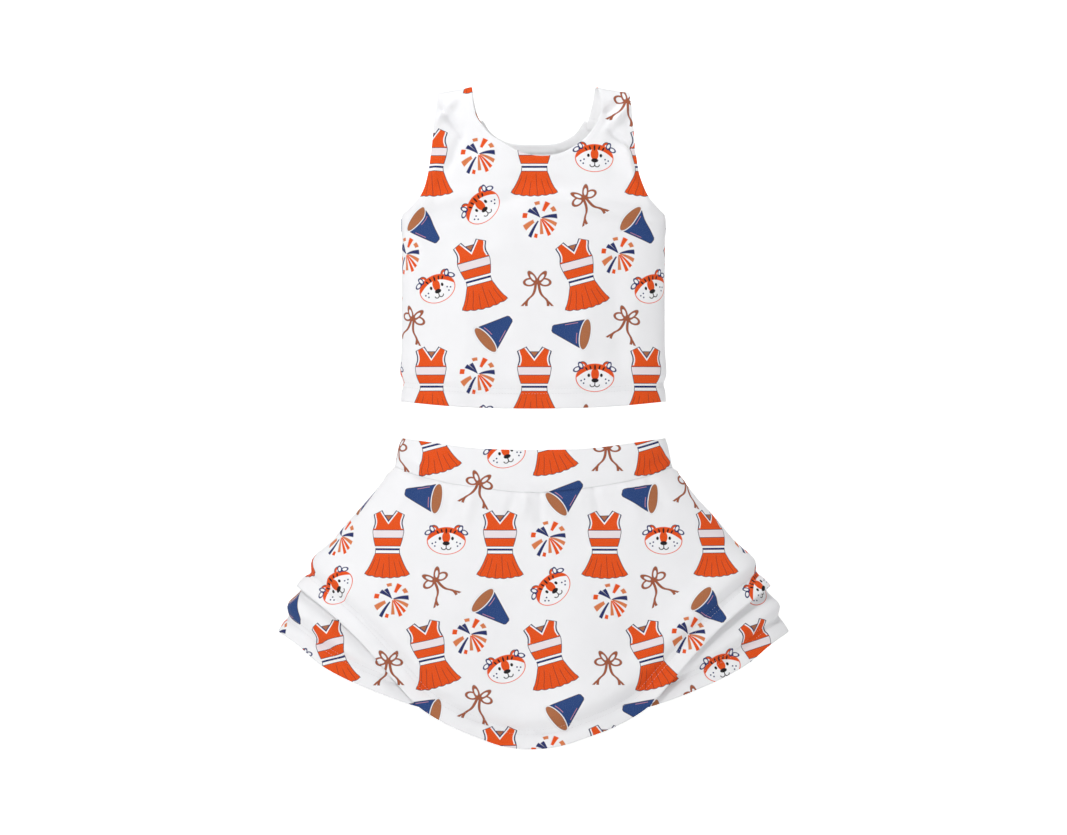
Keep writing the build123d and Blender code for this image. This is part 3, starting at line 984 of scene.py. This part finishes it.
def draw_cat(ink, cloth):
    """A plain striped cat's face with two small bows, made of ovals."""
    place = ink.nearest_motif(cloth, CATS)
    x, y = ink.split(place)
    ax = abs(x)
    place = ink.join(ax, y)
    ear = ink.oval(place, (13.2, 11.0), (4.4, 4.8), -35)
    ink.fill(DARK, ear - 0.4)
    ink.fill(ORANGE, ear + 0.4)
    ink.fill(WHITE, ear + 2.4)
    head = ink.oval(place, (0, -1.6), (21.0, 15.0))
    ink.fill(ORANGE, head - 0.2)
    ink.fill(WHITE, head + 0.55)
    brow = ink.most(head + 0.4, ink.line(ax * ax, -0.022, 7.6) - y)
    bridge = ink.oval(place, (0, 2.4), (4.4, 6.6))
    ink.fill(ORANGE, ink.least(brow, bridge))
    middle = ink.oval(place, (0, 9.6), (1.0, 3.0))
    beside = ink.oval(place, (5.0, 9.4), (0.9, 2.4), -18)
    outer = ink.oval(place, (9.4, 8.0), (0.9, 2.2), -34)
    ink.fill(BLACK, ink.union(middle, beside, outer))
    eye = ink.oval(place, (6.9, 1.0), (1.5, 1.9))
    nose = ink.oval(place, (0, -4.4), (3.9, 2.3))
    mouth = ink.most(ax - 0.55, abs(y + 7.6) - 1.6)
    smile = ink.most(abs(ink.oval(place, (2.6, -8.9), (2.6, 2.4))) - 0.5, y + 8.9)
    ink.fill(BLACK, ink.union(eye, nose, mouth, smile))
    dots = [ink.oval(place, at, (0.9, 0.9)) for at in ((11.6, -3.2), (15.2, -4.6), (12.4, -7.4))]
    upper = ink.oval(place, (15.6, 11.6), (3.4, 2.1), 62)
    lower = ink.oval(place, (19.8, 7.6), (3.6, 2.2), -28)
    knot = ink.oval(place, (16.4, 8.4), (1.3, 1.3))
    ink.fill(WHITE, ink.union(upper, lower))
    ink.fill(NAVY, ink.union(*dots, abs(upper) - 0.55, abs(lower) - 0.55, knot))


def knit_height(ink, cloth):
    """Fine jersey: columns of small loops, in cloth lengths."""
    x, y = ink.split(cloth)
    column = ink.sum("SINE", x * (TILE * 2 * math.pi / 0.95))
    loop = ink.sum("SINE", y * (TILE * 2 * math.pi / 0.8) + abs(column) * 2.2)
    return column * 0.6 + loop * 0.4


def new_material(name):
    mat = bpy.data.materials.new(name)
    mat.use_nodes = True
    return mat, mat.node_tree.nodes["Principled BSDF"], Ink(mat.node_tree)


def noise(ink, place, scale, detail):
    made = ink.node("TexNoise", noise_dimensions="2D")
    ink.plug(made.inputs["Vector"], place)
    made.inputs["Scale"].default_value = scale
    made.inputs["Detail"].default_value = detail
    return Value(ink, made.outputs[0])


def cloth_material(name, shade, printed, depth, rough):
    """Fine knit, seen by its loops and fibres, with or without the print. depth is its relief in mm."""
    mat, shader, ink = new_material(name)
    cloth = Value(ink, ink.node("UVMap", uv_map="cloth").outputs[0])
    fibre = noise(ink, cloth, 260.0, 2.0)
    cast = tuple(c * 0.965 for c in shade[:3]) + (1.0,)
    ink.colour = ink.mix(shade, cast, noise(ink, cloth, 9.0, 3.0))
    if printed:
        for draw in (draw_dress, draw_megaphone, draw_pompom, draw_bow, draw_cat):
            draw(ink, cloth)
        ink.paint(WHITE, ink.sum("MULTIPLY_ADD", fibre, 0.16, -0.075, clamp=True))
    ink.plug(shader.inputs["Base Color"], ink.colour)
    ink.plug(shader.inputs["Roughness"], ink.line(fibre, 0.14, rough - 0.07))
    shader.inputs["Sheen Weight"].default_value = 0.03
    shader.inputs["Sheen Roughness"].default_value = 0.4
    shader.inputs["Specular IOR Level"].default_value = 0.12
    bump = ink.node("Bump")
    bump.inputs["Strength"].default_value = 0.35
    bump.inputs["Distance"].default_value = depth * MM
    ink.plug(bump.inputs["Height"], knit_height(ink, cloth) + fibre * 0.7)
    ink.plug(shader.inputs["Normal"], bump.outputs[0])
    return mat


def thread_material():
    """White cotton thread, coloured light grey as painted shade so its dashes read as a shaded line: a fine
    twist and a little unevenness, in the piece's own space.
    """
    mat, shader, ink = new_material("thread")
    place = ink.node("TexCoord").outputs["Object"]
    twist = ink.node("TexWave")
    ink.plug(twist.inputs["Vector"], place)
    twist.inputs["Scale"].default_value = 700.0
    twist.inputs["Distortion"].default_value = 2.0
    ply = Value(ink, twist.outputs["Fac"])
    # painted shade: two light greys stand in for white thread lying in shadow
    ink.plug(shader.inputs["Base Color"], ink.mix(linear(206, 204, 206), linear(220, 219, 221), ply))
    ink.plug(shader.inputs["Roughness"], ink.line(ply, 0.1, 0.55))
    return mat


PRINT = cloth_material("knit_print", WHITE, True, 0.25, 0.72)
# painted light: the inside knit is paler than the outside's white, so the shaded inside of the garment
# looks lit
LINING = cloth_material("knit_inside", linear(250, 250, 251), False, 0.3, 0.82)
STRETCH = cloth_material("elastic", linear(240, 240, 238), False, 0.5, 0.7)
THREAD = thread_material()
# Where the repeat begins on each cut of cloth (mm across, mm up) and how the cloth is drawn out each way.
TOP_FRONT_PRINT = (0.2, 75.0, 1.0, 1.0)
TOP_BACK_PRINT = (25.2, 86.6, 1.015, 1.012)
SKIRT_FRONT_PRINT = (-159.0, -99.5, 0.992, 0.978)
SKIRT_BACK_PRINT = (23.3, -79.3, 1.01, 0.992)


# ---------------------------------------------------------------- the garments' lines
LIFTED_NECK = 4.0  # the front neckline is this much lower than the back's
NECK_TURN = 9.0  # width of the turned edge at the neck and the armholes
YOKE_TURN = 7.0
EDGE_IN = 0.5  # a turned edge or hem starts this far inside the cut edge
HEM_IN = 0.6
SEAM_REACH = 6.0  # how far a strap seam's allowance runs up and down from it
UNDER_GAP = 4.6  # from the overlay's face in to the under layer's face
BACK_HANG = 4.0  # the skirt's back hangs this much lower at its centre
WAIST_SEAM_THICK = 3.0  # the allowances of three layers in one bundle
TAPE_ROWS, TAPE_COLUMNS = 40, 7
LEFT_RIGHT = ((1, "left"), (-1, "right"))


def neck_back(grow=0.0):
    half = neck_half(0, grow)[:4] + [(58 + grow, STRAP_SEAM)]
    return mirrored(half)


def neck_front(grow=0.0):
    """The front neckline, from -x to +x. It gapes on the wearer's left, where it has slipped down."""
    left = flipped(neck_half(LIFTED_NECK, grow))[:-1]
    right = (
        (-14, 320.5, 0.3, 1.0), (5, 316, 0.0, 1.0), (26, 318, 0.2, 1.0), (44, 326.5, 0.5, 0.85),
        (58, 338, 0.75, 0.65), (68.5, 353, 0.9, 0.4), (73.5, 366, 1.0, 0.1), (73, 379, 1.0, 0.0),
        (70, 390, 1.0, 0.0), (68, 406, 1.0, 0.0),
    )  # fmt: skip
    return left + [(x + grow * gx, z - grow * gz) for x, z, gx, gz in right]


def strap_outline(side):
    outer = [(84, STRAP_SEAM), (92, STRAP_SEAM + 22), (103, SHOULDER + 11)]
    inner = [(68, SHOULDER + 12), (64, STRAP_SEAM + 22), (58, STRAP_SEAM)]
    if side < 0:
        outer, inner = flipped(inner), flipped(outer)
    return closed(outer, inner)


def level_box(x0, x1, z0, z1):
    return closed([(x0, z0), (x1, z0)], [(x1, z1), (x0, z1)])


# ---------------------------------------------------------------- making the pieces
def finish_piece(obj, body, node):
    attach(obj, body)
    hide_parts(node)
    return obj


def panel(node, cloth, profile, print_at, inset=0.0):
    """A printed panel: the print outside, plain knit inside."""
    name = "cloth_" + node.removesuffix("_panel")
    obj = build(name, cloth, inset, KNIT, [PRINT, LINING], profile, print_at)
    return finish_piece(obj, cloth.form.body, node)


def trim(name, form, side, runs, inset, thick, profile, mat=None):
    """A turned edge, tape, lining or elastic: one plain strip inside a panel, under the same folds."""
    obj = build("sewn_" + name, Cloth(form, side, runs, 3.5), inset, thick, [mat or LINING], profile)
    return finish_piece(obj, form.body, name)


def turned_edges(edges, side, profile):
    """The top's turned edges and hems, each right behind its panel."""
    return [trim(name, TORSO, side, runs, DEEP, FACING, profile) for name, runs in edges.items()]


def thread_rows(prefix, cloth, line, profile, inset=0.0):
    """Two rows of hem stitching, as dashes of thread."""
    made = []
    for depth, mark in zip(ROWS, ("low", "high")):
        node = f"{prefix}_stitch_{mark}"
        obj = stitches("sewn_" + node, cloth, line, depth, profile, THREAD, inset=inset)
        made.append(finish_piece(obj, cloth.form.body, node))
    return made


def side_tape(node, form, side, half, low, high, inset):
    """A seam allowance pressed open down a side seam: a strip that goes round the silhouette."""
    n, m = TAPE_ROWS, TAPE_COLUMNS
    zs = np.linspace(low, high, n)
    verts, faces = [], []
    for layer_inset in (inset, inset + FACING):
        for z in zs:
            a = float(form.width(z))
            b = float(form.depth(z))
            for y in np.linspace(-half, half, m):
                x = a * math.sqrt(1 - (y / b) ** 2) - layer_inset
                verts.append((side * x, y, z))
    for layer in range(2):
        for i in range(n - 1):
            for k in range(m - 1):
                base = layer * n * m + i * m + k
                quad = (base, base + 1, base + m + 1, base + m)
                faces.append(quad if (layer == 0) == (side > 0) else quad[::-1])
    ring = list(range(m)) + [m * i + m - 1 for i in range(1, n)]
    ring += [m * (n - 1) + k for k in range(m - 2, -1, -1)] + [m * i for i in range(n - 2, 0, -1)]
    for a, b in zip(ring, ring[1:] + ring[:1]):
        quad = (a, b, b + m * n, a + m * n)
        faces.append(quad[::-1] if side > 0 else quad)
    verts = np.array(verts)
    obj = mesh_object("sewn_" + node, verts * MM, faces, LINING)
    lay_print(obj.data, verts[:, 1:] / TILE)
    return finish_piece(obj, form.body, node)


# ---------------------------------------------------------------- the top
DEEP = KNIT + AIR  # right behind a panel
TAPE_DEEP = DEEP + FACING + AIR  # behind its turned edges
CASING_DEEP = DEEP + ELASTIC + AIR  # behind its elastic


def make_top_front():
    hem_line = to_flat(TORSO, top_hem())
    neck = list(reversed(neck_front()))
    turned = [to_flat(TORSO, armhole_half()), to_flat(TORSO, flipped(armhole_half())), to_flat(TORSO, neck)]
    profile = hem_profile([hem_line], turned)
    runs = closed(top_hem(), armhole_half(), neck, flipped(armhole_half()))
    edges = [(hem_line, HEM_ROWS)] + [(line, EDGE_ROWS) for line in turned]
    cloth = Cloth(TORSO, 1, runs, 3.2, edges)
    front = panel("top_front_panel", cloth, profile, TOP_FRONT_PRINT)
    near, far = armhole_half(EDGE_IN), armhole_half(NECK_TURN)
    edges = {
        "top_front_hem": strip(top_hem(HEM_IN), top_hem(HEM_DEPTH)),
        "neck_edge_front": strip(neck_front(NECK_TURN), neck_front(EDGE_IN)),
        "armhole_edge_left": strip(near, far),
        "armhole_edge_right": strip(flipped(near), flipped(far)),
    }
    inside = turned_edges(edges, 1, profile)
    inside += thread_rows("top_front_hem", cloth, hem_line, profile)


def make_yoke_and_straps():
    foot = BAND_TOP + 1.5
    neck = list(reversed(neck_back()))
    turned = [to_flat(TORSO, line) for line in (yoke_half(), flipped(yoke_half()), arch(), neck)]
    profile = hem_profile([], turned)
    left, right = [(ARCH_HALF, foot), (120, BAND_TOP + 3.3)], [(-120, BAND_TOP + 3.3), (-ARCH_HALF, foot)]
    runs = closed(left, yoke_half(), neck, flipped(yoke_half()), right, arch())
    cloth = Cloth(TORSO, -1, runs, 3.5, [(line, EDGE_ROWS[:5]) for line in turned])
    yoke = panel("top_back_yoke", cloth, profile, TOP_BACK_PRINT)
    near, far = yoke_half(EDGE_IN), yoke_half(YOKE_TURN)
    edges = {
        "neck_edge_back": strip(neck_back(NECK_TURN), neck_back(EDGE_IN)),
        "yoke_edge_left": strip(near, far),
        "yoke_edge_right": strip(flipped(near), flipped(far)),
        "arch_edge": strip(arch(EDGE_IN), arch(YOKE_TURN)),
    }
    inside = turned_edges(edges, -1, profile)
    for side, name in LEFT_RIGHT:
        near, far = sorted((side * 59, side * 81))
        box = level_box(near, far, STRAP_SEAM - SEAM_REACH, STRAP_SEAM + SEAM_REACH)
        inside.append(trim("strap_seam_" + name, TORSO, -1, box, TAPE_DEEP, FACING, None))
    for side, name in LEFT_RIGHT:
        cloth = Cloth(TORSO, -1, strap_outline(side), 3.0)
        panel("strap_back_" + name, cloth, None, TOP_BACK_PRINT)


def make_back_band():
    hem_line = to_flat(TORSO, top_hem())
    edge_line = to_flat(TORSO, list(reversed(band_edge())))
    hem_part = hem_profile([hem_line])

    def profile(uv):
        d = nearest(uv, edge_line)
        casing = 1.1 * (1 - smooth_step(18, 24, d)) * smooth_step(0, 4, d) + groove(d, CASING, 1.3, 0.6)
        pucker = np.sin(uv[:, 0] * 0.8 + np.sin(uv[:, 0] * 0.21) * 2) * np.exp(-(((d - 18) / 9) ** 2))
        return hem_part(uv) + casing + 0.25 * pucker

    runs = closed(top_hem(), list(reversed(band_edge())))
    cloth = Cloth(TORSO, -1, runs, 4.0, [(hem_line, HEM_ROWS), (edge_line, CASING_ROWS)])
    band = panel("top_back_band", cloth, profile, TOP_BACK_PRINT)
    inside = turned_edges({"top_back_hem": strip(top_hem(HEM_IN), top_hem(HEM_DEPTH))}, -1, profile)
    loop = strip(band_edge(1.5 - CASING), band_edge(-1.5))
    inside.append(trim("band_elastic", TORSO, -1, loop, DEEP, ELASTIC, profile, STRETCH))
    turn = strip(band_edge(-CASING - 3), band_edge(-HEM_IN))
    inside.append(trim("band_casing", TORSO, -1, turn, CASING_DEEP, FACING, profile))
    inside += thread_rows("top_back_hem", cloth, hem_line, profile)
    row = stitches("sewn_band_casing_stitch", cloth, edge_line, CASING, profile, THREAD)
    inside.append(finish_piece(row, "top", "band_casing_stitch"))
    for side, name in LEFT_RIGHT:
        side_tape("top_side_seam_" + name, TORSO, side, 4.0, 58, 246, CASING_DEEP + FACING + AIR)


# ---------------------------------------------------------------- the skirt
def make_waistband():
    elastic_sides = []
    sides = ((1, "front", 0.0, 0.0, SKIRT_FRONT_PRINT), (-1, "back", 7.5, 5.0, SKIRT_BACK_PRINT))
    for side, name, top_drop, seam_drop, print_at in sides:
        low, high = skirt_line(WAIST_SEAM, seam_drop), skirt_line(WAIST_TOP, top_drop)
        low_line, high_line = to_flat(SKIRT, low), to_flat(SKIRT, list(reversed(high)))

        def profile(uv, low_line=low_line, high_line=high_line):
            d = np.minimum(nearest(uv, low_line), nearest(uv, high_line))
            return 1.3 * smooth_step(0, 9, d) + 0.5

        edges = [(low_line, BAND_ROWS), (high_line, BAND_ROWS)]
        cloth = Cloth(SKIRT, side, strip(low, high), 3.5, edges)
        band = panel("waistband_" + name, cloth, profile, print_at)
        runs = strip(raised(low, HEM_IN), raised(high, -HEM_IN))
        lining = trim("waistband_lining_" + name, SKIRT, side, runs, CASING_DEEP, KNIT, profile)
        runs = strip(raised(low, -9), raised(low, -HEM_IN))
        seam = trim("waist_seam_" + name, SKIRT, side, runs, DEEP, WAIST_SEAM_THICK, None)
        cloth = Cloth(SKIRT, side, strip(skirt_line(WAIST_SEAM, 0, 3), skirt_line(WAIST_TOP, 7.5, -2)), 4.0)
        elastic_sides.append(build("loop_" + name, cloth, DEEP, ELASTIC, [STRETCH], profile))
    bpy.ops.object.select_all(action="DESELECT")
    for obj in elastic_sides:
        obj.select_set(True)
    bpy.context.view_layer.objects.active = elastic_sides[0]
    bpy.ops.object.join()
    loop = bpy.context.view_layer.objects.active
    loop.name = "sewn_waist_elastic"
    finish_piece(loop, "skirt", "waist_elastic")


def skirt_profile(hem_line, seam_line, flare, bulge, free_below=None):
    """The hem's shape, and small puckers where the cloth is drawn into the waist seam.

    free_below is the border of a layer on top: the hem only bulges fully where it shows below that layer.
    """
    hem_part = hem_profile([hem_line], flare=flare, bulge=bulge, ripple=0.3, draw_in=1.6)

    def profile(uv):
        swell = 0.0
        if free_below is not None:
            shows = ~is_inside(uv, free_below) * smooth_step(3, 22, nearest(uv, free_below))
            d = nearest(uv, hem_line)
            swell = 3.4 * shows * smooth_step(18, 29, d) * (1 - smooth_step(31, 58, d))
        d = nearest(uv, seam_line)
        drawn = 1.6 * smooth_step(0, 9, d) * (1 - smooth_step(9, 34, d)) - 0.5 * np.exp(-((d / 2.2) ** 2))
        pucker = np.sin(uv[:, 0] * 0.42 + 2.4 * np.sin(uv[:, 0] * 0.11)) * smooth_step(0, 5, d)
        return hem_part(uv) + swell + drawn + 0.55 * pucker * (1 - smooth_step(5, 26, d))

    return profile


def make_skirt():
    # name, hem, how far in from the form, flare and bulge of the hem
    layers = (("overlay", OVERLAY_HEM, 0.0, 2.8, 5.2), ("under", UNDER_HEM, UNDER_GAP, 1.7, 2.0))
    sides = ((1, "front", 0.0, 0.0, SKIRT_FRONT_PRINT), (-1, "back", 5.0, BACK_HANG, SKIRT_BACK_PRINT))
    for side, name, seam_drop, hang, print_at in sides:
        seam = raised(skirt_line(WAIST_SEAM, seam_drop), -0.2)
        above = None
        for layer, hem, inset, flare, bulge in layers:
            piece = f"{layer}_{name}"
            low = skirt_line(hem, hang)
            hem_line = to_flat(SKIRT, low)
            seam_line = to_flat(SKIRT, list(reversed(seam)))
            profile = skirt_profile(hem_line, seam_line, flare, bulge, above)
            edges = [(hem_line, SKIRT_HEM_ROWS), (seam_line, SEAM_ROWS)]
            cloth = Cloth(SKIRT, side, strip(low, seam), 4.0, edges)
            above = cloth.border
            sheet = panel(piece + "_panel", cloth, profile, print_at, inset)
            runs = strip(raised(low, HEM_IN), raised(low, HEM_DEPTH))
            turned = trim(piece + "_hem", SKIRT, side, runs, inset + DEEP, FACING, profile)
            rows = thread_rows(piece + "_hem", cloth, hem_line, profile, inset)
    for side, name in LEFT_RIGHT:
        side_tape("overlay_side_seam_" + name, SKIRT, side, 5.0, -142, -55, TAPE_DEEP)
        side_tape("under_side_seam_" + name, SKIRT, side, 5.0, -190, -55, UNDER_GAP + TAPE_DEEP)


make_top_front()
make_yoke_and_straps()
make_back_band()
make_waistband()
make_skirt()
